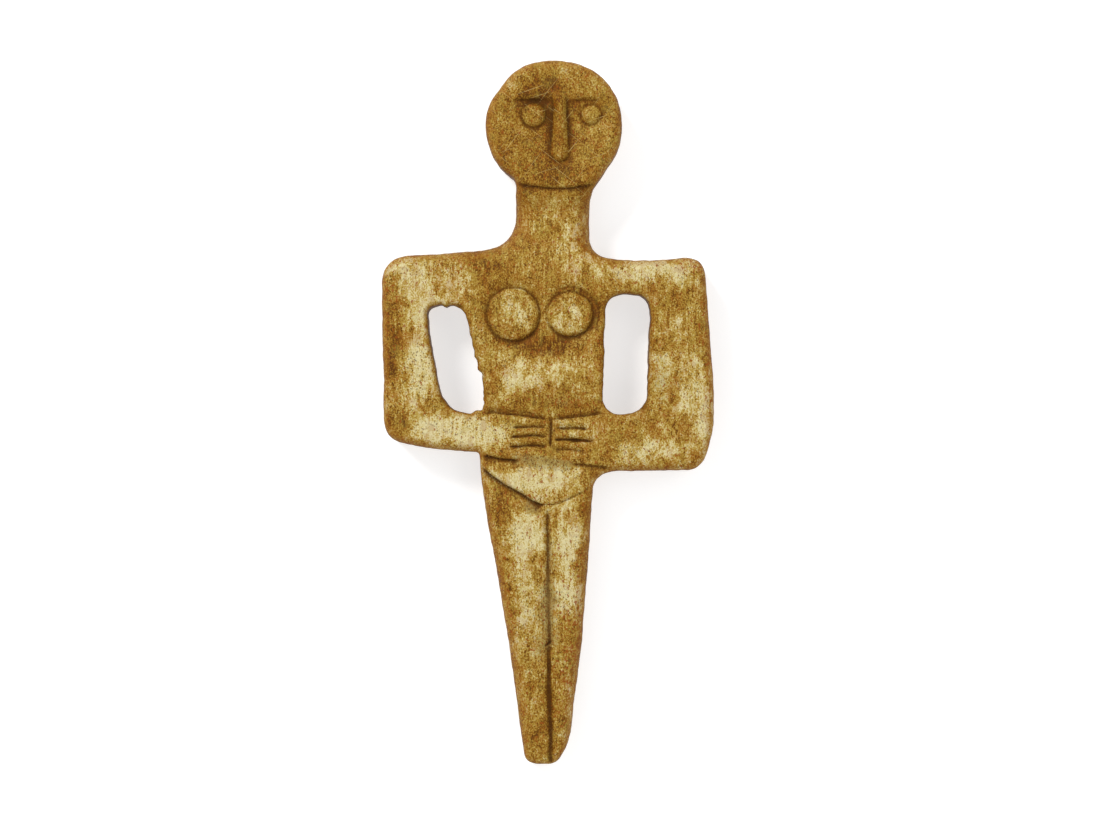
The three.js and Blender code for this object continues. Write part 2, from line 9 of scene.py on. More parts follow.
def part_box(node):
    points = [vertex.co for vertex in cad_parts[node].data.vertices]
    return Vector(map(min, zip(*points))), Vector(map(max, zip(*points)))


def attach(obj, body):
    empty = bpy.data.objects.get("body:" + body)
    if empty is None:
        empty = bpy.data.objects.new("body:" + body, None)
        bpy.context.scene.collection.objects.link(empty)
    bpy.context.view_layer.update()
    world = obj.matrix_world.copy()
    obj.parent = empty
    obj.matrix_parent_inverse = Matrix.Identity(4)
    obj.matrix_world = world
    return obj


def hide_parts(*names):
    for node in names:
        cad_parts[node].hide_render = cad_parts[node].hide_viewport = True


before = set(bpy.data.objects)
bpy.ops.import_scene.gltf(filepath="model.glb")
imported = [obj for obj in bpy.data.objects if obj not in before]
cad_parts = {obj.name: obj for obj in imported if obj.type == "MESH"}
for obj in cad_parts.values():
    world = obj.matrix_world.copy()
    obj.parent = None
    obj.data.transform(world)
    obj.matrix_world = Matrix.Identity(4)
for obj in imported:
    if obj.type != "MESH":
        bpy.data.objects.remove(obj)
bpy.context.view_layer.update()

# THE BLANK
# One flat piece of bone, sawn and filed to the figure's outline, with a hole cut through inside each elbow
# and every edge rubbed round. Lengths are in millimetres until the mesh is made, and places are counted up
# the figure from the tip of the feet, and to the right of someone who looks down at the face.

HIPS, SHOULDERS, CHIN = 50.0, 86.7, 98.0
CALVES = 23.0
HEAD_MIDDLE = (1.0, 109.0)
HEAD_REACH = (11.6, 11.0)
ELBOW, SHOULDER = 28.4, 27.4
NECK = (-5.35, 7.15)
HIP = (-11.1, 7.7)
CALF = (-7.0, 6.0)
FEET = (-4.35, 3.75)


def blend(low, high, share):
    return low + (high - low) * share


def ease(value, low, high):
    share = np.clip((value - low) / (high - low), 0, 1)
    return share * share * (3 - 2 * share)


def head_corners():
    """The head's round: a little squarer than an ellipse, and flattened on the left of the crown."""
    neck_width, head_width = 12.5, 23.2
    neck_half = math.asin(neck_width / head_width)
    first, last = neck_half + 0.32, 2 * math.pi - neck_half - 0.14
    flat_at, flat_spread, flat_depth = 2.5, 0.3, 0.6
    squareness = 0.93
    corners = []
    for step in range(31):
        turn = blend(first, last, step / 30) - math.pi / 2
        flat = flat_depth * math.exp(-(((turn - flat_at) / flat_spread) ** 2))
        ways = (math.cos(turn), math.sin(turn))
        side, up = (math.copysign(abs(way) ** squareness, way) for way in ways)
        x = HEAD_MIDDLE[0] + (HEAD_REACH[0] - flat) * side
        corners.append((x, HEAD_MIDDLE[1] + (HEAD_REACH[1] - flat) * up, 0.9))
    return corners


def smooth_loop(corners):
    """Evenly spaced points round a loop of (x, y, how far the corner's rounding reaches)."""
    points = []
    for i, (x, y, reach) in enumerate(corners):
        corner = np.array((x, y))
        ends = []
        for other in (corners[i - 1], corners[(i + 1) % len(corners)]):
            side = np.array(other[:2]) - corner
            length = np.hypot(*side)
            ends.append(corner + side / length * min(reach, 0.49 * length))
        for share in np.linspace(0, 1, 16):
            points.append(ends[0] * (1 - share) ** 2 + corner * 2 * share * (1 - share) + ends[1] * share**2)
    points = np.array(points + points[:1])
    along = np.concatenate(([0], np.cumsum(np.hypot(*np.diff(points, axis=0).T))))
    spacing = 0.33
    stations = np.linspace(0, along[-1], int(along[-1] / spacing), endpoint=False)
    return np.stack([np.interp(stations, along, points[:, axis]) for axis in (0, 1)], axis=1)


outline = smooth_loop([
    (FEET[0] + 0.6, 0, 3), (FEET[1] - 2.2, 0.1, 1.6), (FEET[1], 4.2, 2.4), (CALF[1], CALVES, 9),
    (HIP[1] - 0.25, HIPS - 7, 3), (HIP[1], HIPS + 0.2, 4.8),
    (ELBOW - 2.7, HIPS + 0.2, 2.4), (ELBOW - 0.6, HIPS + 4.6, 3), (ELBOW, HIPS + 12, 5),
    (SHOULDER - 0.8, SHOULDERS, 3.6), (SHOULDER * 0.56, SHOULDERS - 1, 5.5),
    (NECK[1], SHOULDERS, 3.4), (NECK[1], CHIN - 0.5, 2), *head_corners(), (NECK[0] - 0.1, CHIN + 1.6, 1.6),
    (NECK[0], SHOULDERS + 1.4, 7), (-ELBOW, SHOULDERS - 0.2, 4.9), (-ELBOW + 0.5, HIPS + 5.8, 3.4),
    (-ELBOW * 0.78, HIPS + 4.2, 3), (HIP[0] - 0.6, HIPS + 3.3, 0.7), (HIP[0] - 0.5, HIPS + 1, 2),
    (HIP[0] + 0.3, HIPS - 5.6, 4), (CALF[0], CALVES, 9), (FEET[0], 3.4, 2),
])
left_opening = smooth_loop([
    (-20.6, 78.4, 2.6), (-14.1, 78.4, 3), (-12.8, 71.1, 4), (-10.8, 64.5, 2.4),
    (-10.8, 60.1, 3), (-16.0, 60.1, 2), (-18.3, 63.0, 0.9), (-20.5, 74.4, 3),
])
right_opening = smooth_loop([(9.8, 80.3, 3.2), (17.5, 80.3, 3.2), (16.8, 59.8, 3.8), (9.2, 59.8, 3.6)])


def front_height(y):
    """Height of the front before anything is cut in it."""
    at_feet, at_hips, at_neck, at_head = 6.0, 8.8, 8.0, 9.4
    z = blend(at_feet, at_hips, ease(y, -20, HIPS))
    z = blend(z, at_neck, ease(y, SHOULDERS - 3, SHOULDERS + 4))
    return blend(z, at_head, ease(y, CHIN - 4, CHIN))


def edge_reach(y):
    """How far the front edge's rounding reaches in: widest on the neck and the legs."""
    at_toes, on_legs, on_body, on_neck = 1.2, 2.4, 1.7, 3.6
    neck = ease(y, SHOULDERS - 1, SHOULDERS + 4) * (1 - ease(y, CHIN - 4, CHIN + 2))
    legs = blend(at_toes, on_legs, ease(y, 0, 8))
    return blend(blend(legs, on_body, ease(y, HIPS - 14, HIPS - 2)), on_neck, neck)


# THE CARVING
# Lines and hollows cut with a small blade and a point. Each stroke has a floor and two walls, and a steep
# wall beside a wide one leaves a step. The nose, the eyes and the breasts stand in their hollows.

BROWS, BREASTS, HANDS = 113.2, 76.8, 59.0

# The strays of the blade, and the stains' ragged outlines further down, are the same in every run.
noise.seed_set(12)


def from_path(x, y, path):
    """Distance from a bent line, plus on its left and minus on its right, and the way to its nearer end."""
    path = np.array(path, float)
    nearest = np.full(x.shape, 1e9)
    signed = np.zeros(x.shape)
    to_end = np.zeros(x.shape)
    lengths = np.hypot(*np.diff(path, axis=0).T)
    total = lengths.sum()
    for start, end, length, before in zip(path, path[1:], lengths, np.cumsum(lengths) - lengths):
        way = (end - start) / length
        run = np.clip((x - start[0]) * way[0] + (y - start[1]) * way[1], 0, length)
        dx, dy = x - start[0] - way[0] * run, y - start[1] - way[1] * run
        far = np.hypot(dx, dy)
        closer = far < nearest
        nearest[closer] = far[closer]
        signed[closer] = (np.sign(way[0] * dy - way[1] * dx) * far)[closer]
        to_end[closer] = np.minimum(before + run, total - before - run)[closer]
    return signed, to_end


def bent(*points):
    """A path with its bends eased, through the points."""
    points = np.array(points, float)
    for _ in range(3):
        middles = (points[:-1] + points[1:]) / 2
        quarters = np.empty((2 * len(middles), 2))
        quarters[0::2] = blend(points[:-1], middles, 0.5)
        quarters[1::2] = blend(points[1:], middles, 0.5)
        points = np.concatenate((points[:1], quarters, points[-1:]))
    return points


def stroke(x, y, path, depth, left, right, run_out=1.6, floor=0.0):
    """How much one stroke takes away: most on its path or its flat floor, and nothing past either wall."""
    signed, to_end = from_path(x, y, path)
    share = np.clip((1 + floor) * (1 - np.where(signed > 0, signed / left, -signed / right)), 0, 1)
    return depth * share * (0.55 + 0.45 * share) * np.clip(0.15 + to_end / run_out, 0, 1)


def mound(x, y, middle, reach):
    return np.exp(-(((x - middle[0]) / reach[0]) ** 2) - ((y - middle[1]) / reach[1]) ** 2)


def face(x, y):
    """What is taken off the face, less what stands in it."""
    nose, left_eye, right_eye = 2.0, -4.4, 5.3
    dish, socket, eye_ring = 0.85, 0.28, 0.15
    across, along = (x - nose) / 9.9, (y - HEAD_MIDDLE[1] + 0.4) / 9.8
    forehead = ease(y, BROWS - 0.2, BROWS + 1.4)
    cut = dish * (1 - 0.7 * forehead) * (1 - ease(np.hypot(across, along), 0.15, 1.0))
    sockets = sum(mound(x, y, (nose + side, BROWS - 2.6), (3.2, 2.6)) for side in (left_eye, right_eye))
    cut += socket * sockets * (1 - forehead)
    for start, bend, end, depth in ((-8.4, -5.0, -1.4, 0.46), (1.6, 4.6, 7.6, 0.4)):
        brow = bent((nose + start, BROWS - 0.1), (nose + bend, BROWS + 0.25), (nose + end, BROWS - 0.1))
        cut += stroke(x, y, brow, depth, left=0.3, right=1.6, run_out=2.2)
    for side in (-1, 1):
        flank = bent((nose + 1.9 * side, BROWS - 9), (nose + 1.7 * side, BROWS - 5),
                     (nose + 1.5 * side, BROWS - 0.6))
        cut += stroke(x, y, flank, depth=0.22, left=1.3, right=1.3, run_out=3.6)
    for side, radius, height in ((left_eye, 2.1, 0.72), (right_eye, 1.65, 0.55)):
        away = np.hypot(x - nose - side, (y - BROWS + 2.5) * 1.04)
        cut += eye_ring * np.exp(-(((away - radius - 0.15) / 0.4) ** 2)) * (1 - forehead)
        cut -= height * np.clip(1 - (away / radius) ** 2, 0, 1) ** 0.7 * (1 - ease(y, BROWS - 0.9, BROWS))
    half_at_tip, half_at_brow, tip = 1.6, 1.15, 104.3
    half = blend(half_at_tip, half_at_brow, ease(y, 103, BROWS))
    below_tip = np.where(y < tip, (tip - y) * 1.1, 0)
    ridge = np.clip(1 - (np.hypot(x - nose, below_tip) / half) ** 2, 0, 1) ** 0.8
    under_tip = bent((nose - 1.7, BROWS - 9), (nose - 0.9, BROWS - 10.3),
                     (nose + 0.9, BROWS - 10.3), (nose + 1.7, BROWS - 9))
    cut += stroke(x, y, under_tip, depth=0.14, left=0.6, right=1.2)
    ridge_height = 0.92
    return cut - ridge_height * ridge * ease(y, BROWS + 1.6, BROWS - 0.6)


def chin(x, y):
    """The step under the head's round, down to the neck."""
    middle, half = 0.9, 8.6
    path = bent((middle - half, CHIN + 1.9), (middle - half / 2, CHIN + 0.55), (middle, CHIN + 0.15),
                (middle + half / 2, CHIN + 0.4), (middle + half, CHIN + 1.3))
    step = stroke(x, y, path, depth=0.58, left=0.5, right=4.4, run_out=4.0)
    return step + stroke(x, y, path, depth=0.12, left=0.25, right=0.35, run_out=4.0)


def breasts(x, y):
    """Two flat discs, each in a ring cut deepest at its lower right, and a line past the right one."""
    outer_wall, inner_wall, crown = 2.0, 0.75, 0.15
    cut = np.zeros(x.shape)
    for middle_x, radius, squash, second_line in ((-5.95, 4.5, 1.0, 0.05), (3.8, 4.0, 1.04, 0.22)):
        away = np.hypot(x - middle_x, (y - BREASTS) * squash)
        wall = np.where(away > radius, (away - radius) / outer_wall, (radius - away) / inner_wall)
        ring = 0.57 + 0.1 * np.clip((x - middle_x - y + BREASTS) / radius, -1, 1)
        cut = np.maximum(cut, ring * np.clip(1 - wall, 0, 1) ** 1.6)
        cut -= crown * np.clip(1 - (away / radius) ** 2, 0, 1)
        upper_right = ease(x - middle_x + y - BREASTS, 0.5, 3.5)
        cut += second_line * np.exp(-(((away - radius - 0.85) / 0.22) ** 2)) * upper_right
    return cut


def belly(x, y):
    """A hollow over the hands and one under the breasts, with the belly's low swell between them."""
    middle = -0.85
    cut = 0.45 * mound(x, y, (middle, HANDS + 7), reach=(8.5, 7))
    cut += 0.62 * mound(x, y, (middle, BREASTS - 5.6), reach=(8, 2.8))
    return cut - 0.5 * mound(x, y, (middle + 1.5, BREASTS - 10.5), reach=(5.5, 3.4))


def hands(x, y):
    """Flat hands that stand over the belly, with a cut between the fingertips and between the fingers."""
    tips = 0.4
    left_top = bent((tips, HANDS - 0.25), (-3, HANDS + 0.25), (-7, HANDS + 0.9), (-11.2, HANDS + 1.0))
    right_top = bent((9.8, HANDS + 0.9), (6, HANDS + 0.4), (3, HANDS + 0.1), (tips, HANDS - 0.25))
    cut = stroke(x, y, left_top, depth=0.62, left=0.3, right=2.6)
    cut += stroke(x, y, right_top, depth=0.58, left=0.3, right=2.6)
    second = bent((-1.5, HANDS + 0.75), (-6, HANDS + 1.5), (-10, HANDS + 1.7))
    cut += stroke(x, y, second, depth=0.2, left=0.2, right=0.3)
    left_edge = bent((-11.8, HANDS - 6.0), (-8, HANDS - 6.7), (-4.5, HANDS - 6.9))
    cut += stroke(x, y, left_edge, depth=0.75, left=0.3, right=2.4)
    right_edge = bent((3.5, HANDS - 7.4), (7, HANDS - 7.9), (11, HANDS - 8.2))
    cut += stroke(x, y, right_edge, depth=0.5, left=0.3, right=1.4)
    between = bent((tips, HANDS + 0.6), (tips + 0.1, HANDS - 2), (tips - 0.1, HANDS - 5.4))
    cut += stroke(x, y, between, depth=0.78, left=0.95, right=0.85)
    # Each finger cut: its side, how far down the hand it is, its length and its depth.
    fingers = (
        (-1, 1.35, 6.8, 0.6), (-1, 2.95, 7.1, 0.68), (-1, 4.6, 7.2, 0.66),
        (1, 1.6, 6.6, 0.58), (1, 3.65, 7.2, 0.72), (1, 5.3, 5.8, 0.42),
    )
    for side, down, length, depth in fingers:
        path = bent((tips + 0.2 * side, HANDS - down), (tips + side * length * 0.5, HANDS - down + 0.1),
                    (tips + side * length, HANDS - down - 0.15))
        cut = np.maximum(cut, stroke(x, y, path, depth, left=0.8, right=0.66, run_out=1.1))
    # Two pits in the right hand, and a scored line under it.
    cut += 0.35 * mound(x, y, (4.6, HANDS - 3.7), reach=(0.8, 0.45))
    cut += 0.25 * mound(x, y, (7.6, HANDS - 3.6), reach=(0.5, 0.7))
    scored = bent((3.8, HANDS - 6.9), (7.4, HANDS - 7.1), (10.4, HANDS - 6.8))
    cut += stroke(x, y, scored, depth=0.22, left=0.25, right=0.3)
    # The pads of the fingers are a little proud of the wrists.
    return cut - 0.22 * mound(x, y, (tips, HANDS - 2.8), reach=(7.2, 2.8))


def apron(x, y):
    """A leaf over the hips: a step down to the left thigh, and only a thin line on the right."""
    step = bent((-11.6, HIPS + 1.2), (-9.6, HIPS - 0.6), (-7.4, HIPS - 2.2), (-4.6, HIPS - 3.7),
                (-2.0, HIPS - 5.3), (-0.4, HIPS - 5.9))
    line = bent((-1.8, HIPS - 5.7), (1.6, HIPS - 5.4), (4.4, HIPS - 4.2), (7.7, HIPS - 2.2))
    cut = stroke(x, y, step, depth=0.85, left=0.3, right=3.8)
    cut += stroke(x, y, line, depth=0.34, left=0.22, right=0.45)
    return cut - 0.18 * mound(x, y, (-2.5, HIPS - 1.8), reach=(4.5, 2.2))


def legs(x, y):
    """A line to the knees, worn away in places, then a wide channel that starts at a slanting nick."""
    line = bent((-0.2, HIPS - 6.2), (0.0, 36), (0.1, 28), (0.2, 20))
    thigh = stroke(x, y, line, depth=0.55, left=0.85, right=0.75)
    worn = 1 - 0.55 * mound(x, y, (0, 28), reach=(4, 4.5))
    cut = thigh * worn + 0.34 * mound(x, y, (0.1, 27.5), reach=(1.5, 4.6))
    nick = bent((0.9, 21.3), (0.1, 20.7), (-0.9, 19.8))
    cut += stroke(x, y, nick, depth=0.4, left=0.2, right=0.7, run_out=0.8)
    shin = bent((0.15, 20.7), (0.2, 12), (0.5, 3.4), (0.55, -2.0))
    channel = stroke(x, y, shin, depth=0.42, left=0.7, right=0.75, run_out=0.9, floor=0.5)
    return cut + channel + stroke(x, y, shin, depth=0.2, left=1.6, right=1.8, run_out=3)


STROKES_ON_FRONT = (face, chin, breasts, belly, hands, apron, legs)


def cut_from_front(x, y):
    """All the carving, whose lines stray a little as a hand-held blade does."""
    strays = np.array([noise.noise_vector(Vector((px / 1.7, py / 2.3, 6.5))) for px, py in zip(x, y)])
    most = 0.16
    x, y = x + most * strays[:, 0], y + most * strays[:, 1]
    return sum(part(x, y) for part in STROKES_ON_FRONT)


def cut_from_back(x, y):
    """The back is plain: a shallow line down the spine, one under the seat and one between the legs."""
    spine = bent((0.6, SHOULDERS - 2), (0, 68), (-1, HIPS + 6))
    seat = bent((-7.3, HIPS - 3), (-1.7, HIPS - 4.8), (3.9, HIPS - 3))
    between = bent((-0.8, HIPS - 4.8), (0, CALVES), (0.3, 4))
    lines = (spine, seat, between)
    return sum(stroke(x, y, path, depth=0.5, left=0.7, right=0.7, run_out=4) for path in lines)


# THE SURFACE
# The whole figure is one closed mesh: a fine net over the front, a plain one over the back, and rings
# between them down the rubbed edges. The edges are nicked, and the left opening's inner side is ragged.

FINE, COARSE = 0.27, 0.6
BACK_EDGE, HOLE_EDGE = 1.3, 1.0
BACK_RINGS, WALL_RINGS, FRONT_RINGS = 4, 7, 8


def into_bone(loop):
    """The ways from a loop's points into the bone, which lies on its left, eased round the corners."""
    along = np.roll(loop, -3, axis=0) - np.roll(loop, 3, axis=0)
    inward = np.stack([-along[:, 1], along[:, 0]], axis=1)
    inward = sum(np.roll(inward, shift, axis=0) for shift in range(-4, 5))
    return inward / np.hypot(*inward.T)[:, None]


def wander(loop, size, seed):
    """How a filed edge strays in and out along a loop."""
    return np.array([[noise.noise(Vector((x / size, y / size, seed)))] for x, y in loop])


def inside(points, loop):
    """Whether each point lies inside the loop."""
    found = np.zeros(len(points), bool)
    x, y = points.T
    for (x0, y0), (x1, y1) in zip(loop, np.roll(loop, -1, axis=0)):
        if y0 != y1:
            found ^= ((y0 > y) != (y1 > y)) & (x < x0 + (x1 - x0) * (y - y0) / (y1 - y0))
    return found


def net(loops, step):
    """Points between the loops, and triangles over the loops' points and then those."""
    low, high = loops[0].min(axis=0), loops[0].max(axis=0)
    rows = np.arange(low[1], high[1], step * math.sqrt(3) / 2)
    columns = np.arange(low[0], high[0], step)
    grid_x, grid_y = np.meshgrid(columns, rows)
    grid_x = grid_x + (np.arange(len(rows))[:, None] % 2) * step / 2
    grid = np.stack([grid_x.ravel(), grid_y.ravel()], axis=1)
    keep = inside(grid, loops[0])
    for hole in loops[1:]:
        keep &= ~inside(grid, hole)
    grid = grid[keep]
    rims = kdtree.KDTree(sum(len(loop) for loop in loops))
    for i, (x, y) in enumerate(np.concatenate(loops)):
        rims.insert((x, y, 0), i)
    rims.balance()
    grid = grid[[rims.find((x, y, 0))[2] > 0.6 * step for x, y in grid]]
    corners = np.concatenate([*loops, grid])
    walls = []
    first = 0
    for loop in loops:
        walls += [(first + i, first + (i + 1) % len(loop)) for i in range(len(loop))]
        first += len(loop)
    sites = [Vector(corner) for corner in corners]
    faces, sources = delaunay_2d_cdt(sites, walls, [], 0, 1e-6)[2:4]
    faces = np.array([[sources[i][0] for i in face] for face in faces])
    middles = corners[faces].mean(axis=1)
    keep = inside(middles, loops[0])
    for hole in loops[1:]:
        keep &= ~inside(middles, hole)
    return grid, faces[keep]


facings = [into_bone(loop) for loop in (outline, left_opening, right_opening)]
outline += facings[0] * (
    0.12 * wander(outline, size=4.0, seed=3.1) + 0.07 * wander(outline, size=1.1, seed=7.7)
)
broken = ease(left_opening[:, 0], -15.5, -12.5) * (1 - ease(left_opening[:, 1], 69, 72))
spur = mound(*left_opening.T, (-17.4, 78.3), (0.5, 1.2))
ragged = 0.12 + 0.45 * broken[:, None]
left_opening += facings[1] * (ragged * wander(left_opening, size=0.95, seed=9.4) - 0.35 * spur[:, None])
right_opening += facings[2] * (
    0.18 * wander(right_opening, size=3.0, seed=1.3) + 0.1 * wander(right_opening, size=0.9, seed=5.2)
)

places = []
rolled = []
shown_front = []
triangles = []
count = 0
back_rings, front_rings = [], []
for loop, inward in zip((outline, left_opening, right_opening), facings):
    reach = edge_reach(loop[:, 1]) if loop is outline else np.full(len(loop), HOLE_EDGE)
    top = front_height(loop[:, 1])
    rings = []
    for step in range(BACK_RINGS, 0, -1):
        turn = math.pi / 2 * step / BACK_RINGS
        flat = loop + inward * BACK_EDGE * (1 - math.cos(turn))
        rings.append((flat, np.full(len(loop), BACK_EDGE * (1 - math.sin(turn))), 1 - math.sin(turn), 0))
    for step in range(WALL_RINGS):
        rings.append((loop, blend(BACK_EDGE, top - reach, step / WALL_RINGS), 1, 0))
    for step in range(FRONT_RINGS + 1):
        turn = math.pi / 2 * step / FRONT_RINGS
        flat = loop + inward * reach[:, None] * (1 - math.cos(turn))
        lift = math.sin(turn)
        z = front_height(flat[:, 1]) - reach * (1 - lift) - cut_from_front(*flat.T) * lift
        rings.append((flat, z, 1 - lift, 1))
    for flat, z, roll, front in rings:
        places.append(np.column_stack([flat, z]))
        rolled.append(np.full(len(loop), roll))
        shown_front.append(np.full(len(loop), front * (1 - roll)))
    size = len(loop)
    lower = np.arange(size)
    beside = (lower + 1) % size
    for i in range(len(rings) - 1):
        a, b = count + i * size, count + (i + 1) * size
        triangles.append(np.column_stack([a + lower, a + beside, b + beside]))
        triangles.append(np.column_stack([a + lower, b + beside, b + lower]))
    back_rings.append((rings[0][0], count + lower))
    front_rings.append((rings[-1][0], count + (len(rings) - 1) * size + lower))
    count += size * len(rings)

for rings, step, front in ((front_rings, FINE, True), (back_rings, COARSE, False)):
    grid, faces = net([flat for flat, _ in rings], step)
    x, y = grid.T
    height = front_height(y) - cut_from_front(x, y) if front else cut_from_back(x, y)
    numbers = np.concatenate([*(ids for _, ids in rings), count + np.arange(len(grid))])
    triangles.append(numbers[faces] if front else numbers[faces][:, ::-1])
    places.append(np.column_stack([grid, height]))
    rolled.append(np.zeros(len(grid)))
    shown_front.append(np.full(len(grid), float(front)))
    count += len(grid)

places = np.concatenate(places)
rolled = np.concatenate(rolled)
shown_front = np.concatenate(shown_front)
triangles = np.concatenate(triangles)

pairs = np.sort(np.concatenate([triangles[:, [0, 1]], triangles[:, [1, 2]], triangles[:, [2, 0]]]), axis=1)
pairs = np.unique(pairs, axis=0)
one, other = pairs.T
neighbours = 1 + np.bincount(one, minlength=count) + np.bincount(other, minlength=count)


def spread(values, rounds):
    """Each value shared out with its neighbours, over and over, which blurs it along the surface."""
    for _ in range(rounds):
        gathered = np.bincount(one, values[other], count) + np.bincount(other, values[one], count)
        values = (values + gathered) / neighbours
    return values


# How deep each point lies in a narrow cut or a wide hollow, and how near a rubbed edge, for the stains
# and for the painted shade in the cuts, the hollows and round the edges.
taken = cut_from_front(*places[:, :2].T) * shown_front
taken += np.where(places[:, 2] < 1.0, cut_from_back(*places[:, :2].T), 0) * (shown_front == 0)
groove = taken - spread(taken, 14)
hollow = taken - spread(taken, 160)
edge = spread(rolled, 10)

# Hand work leaves the surface uneven: long shallow waves, and finer ones along the bone's grain.
corners = places[triangles]
normals = np.zeros_like(places)
flat_normals = np.cross(corners[:, 1] - corners[:, 0], corners[:, 2] - corners[:, 0])
for corner in range(3):
    for axis in range(3):
        normals[:, axis] += np.bincount(triangles[:, corner], flat_normals[:, axis], count)
normals /= np.linalg.norm(normals, axis=1)[:, None]
waves = np.array([
    0.1 * noise.noise(Vector((x / 5.0, y / 8.0, z / 5.0 + 2.0)))
    + 0.035 * noise.noise(Vector((x / 1.1, y / 2.6, z / 1.2)))
    + 0.02 * noise.noise(Vector((x / 0.45, y / 1.1, z / 0.5 + 9.0)))
    for x, y, z in places
])
calmed = np.where(places[:, 2] < 0.05, 0.25, 1.0)
places += normals * (waves * calmed)[:, None]
places[:, 2] = np.maximum(places[:, 2], 0)

# Small bites out of the front edges, each a ball pressed into the rim, and larger ones at the old knocks.
dice = np.random.default_rng(12)
bites = [
    (-27.6, 53.2, 9.0, 1.7), (3.6, 0.6, 6.6, 1.6), (-11.6, 63.4, 9.2, 1.2), (-17.8, 63.4, 9.3, 0.9),
    (26.6, 86.6, 9.4, 1.1), (8.3, 41.0, 8.4, 1.0),
]
for loop, inward, number in zip((outline, left_opening, right_opening), facings, (46, 12, 9)):
    for spot in dice.choice(len(loop), number, replace=False):
        radius = dice.uniform(0.35, 0.85)
        x, y = loop[spot] - inward[spot] * radius * 0.35
        bites.append((x, y, front_height(y) + radius * dice.uniform(-0.2, 0.25), radius))
broken_skin = np.zeros(count)
for x, y, z, radius in bites:
    away = places - (x, y, z)
    far = np.linalg.norm(away, axis=1)
    bitten = far < radius
    places[bitten] = np.array((x, y, z)) + away[bitten] / far[bitten, None] * radius
    broken_skin = np.maximum(broken_skin, 1 - ease(far, radius, radius * 1.3))

# THE PATINA
# Long handling and burial left it cream where it is rubbed, brown where oil and soil went in, grey-green
# where dirt stayed as a crust, and specked with red-brown. Each patch is (x, y, two reaches, strength).

cream_patches = (
    (-15.5, 56.9, 6.5, 2.1, 0.85), (-10.2, 57.0, 2.8, 2.0, 0.9), (-4.0, 49.0, 5.4, 2.2, 0.85),
    (-3.8, 40.0, 3.0, 6.0, 0.8), (3.4, 37.5, 2.1, 7.5, 0.85), (-4.0, 28.0, 2.2, 5.0, 0.45),
    (-3.0, 16.5, 1.5, 4.0, 0.2), (3.4, 29.0, 1.8, 4.5, 0.55), (-18.5, 82.8, 8.0, 2.6, 0.45),
    (-21.8, 78.0, 2.4, 3.0, 0.6), (-22.0, 67.5, 2.4, 7.5, 0.7), (-24.5, 84.5, 3.0, 2.4, 0.5),
    (14.5, 84.2, 7.5, 1.8, 0.95), (22.5, 83.0, 3.5, 2.6, 0.5), (19.2, 67.0, 2.2, 6.0, 0.45),
    (24.6, 63.0, 2.4, 6.0, 0.5), (20.0, 53.6, 8.0, 2.4, 0.55), (26.6, 57.5, 1.2, 4.5, 0.7),
    (-5.8, 77.4, 3.4, 3.2, 0.55), (3.9, 76.2, 3.0, 3.0, 0.5), (-1.6, 67.4, 5.4, 2.4, 0.65),
    (-5.6, 65.2, 3.0, 2.0, 0.5), (4.0, 90.5, 2.2, 3.2, 0.45), (4.8, 85.0, 2.0, 2.6, 0.5),
    (-26.9, 63.5, 1.0, 5.0, 0.4), (4.2, 10.5, 0.9, 6.0, 0.35), (6.3, 57.5, 5.0, 2.0, 0.3),
    (20.5, 68.0, 7.0, 19.0, 0.16), (-20.0, 68.0, 5.0, 17.0, 0.22), (-3.6, 24.0, 3.6, 19.0, 0.18),
    (1.8, 49.4, 3.2, 1.8, 0.55),
)
brown_patches = (
    (-3.4, 43.4, 2.0, 1.3, 0.8), (4.4, 43.2, 2.2, 1.4, 0.5), (-0.9, 74.6, 1.2, 2.0, 0.5),
    (-0.5, 114.6, 5.0, 3.4, 0.7), (1.4, 104.5, 9.0, 7.0, 0.42), (1.0, 100.4, 6.5, 1.8, 0.35),
    (8.2, 112.0, 3.0, 3.5, 0.3), (-7.5, 106.5, 3.2, 4.5, 0.35), (-4.0, 94.0, 2.4, 4.0, 0.35),
    (6.3, 94.5, 1.6, 3.5, 0.35), (-9.5, 84.5, 3.6, 2.6, 0.5), (-0.8, 71.4, 7.5, 2.0, 0.7),
    (-11.2, 77.5, 2.2, 3.2, 0.45), (8.4, 76.5, 1.2, 4.0, 0.5), (-26.6, 71.5, 1.8, 8.5, 0.7),
    (-25.4, 59.0, 3.0, 2.6, 0.6), (-20.0, 60.8, 2.6, 1.2, 0.35), (-8.4, 44.0, 2.8, 4.5, 0.5),
    (5.9, 45.0, 1.8, 4.0, 0.45), (-0.5, 61.6, 8.0, 1.5, 0.5), (24.8, 75.0, 2.6, 5.0, 0.3),
    (13.5, 55.5, 3.2, 3.0, 0.3), (-0.3, 4.5, 4.6, 5.5, 0.22), (-5.6, 10.5, 1.4, 6.0, 0.35),
    (0.3, 13.0, 1.4, 10.0, 0.3), (25.8, 84.5, 1.6, 2.0, 0.45), (0.5, 80.8, 2.0, 2.4, 0.4),
)
crust_patches = (
    (-3.3, 43.3, 2.0, 1.4, 0.6), (-0.5, 51.8, 5.2, 1.3, 0.9), (-1.2, 70.4, 6.0, 1.8, 0.25),
    (0.2, 27.5, 1.5, 5.5, 1.0), (19.3, 66.0, 3.2, 4.0, 0.45), (0.0, 38.0, 1.0, 6.0, 0.4),
    (3.0, 62.5, 5.0, 2.0, 0.35), (-1.5, 20.5, 2.0, 2.5, 0.35),
)
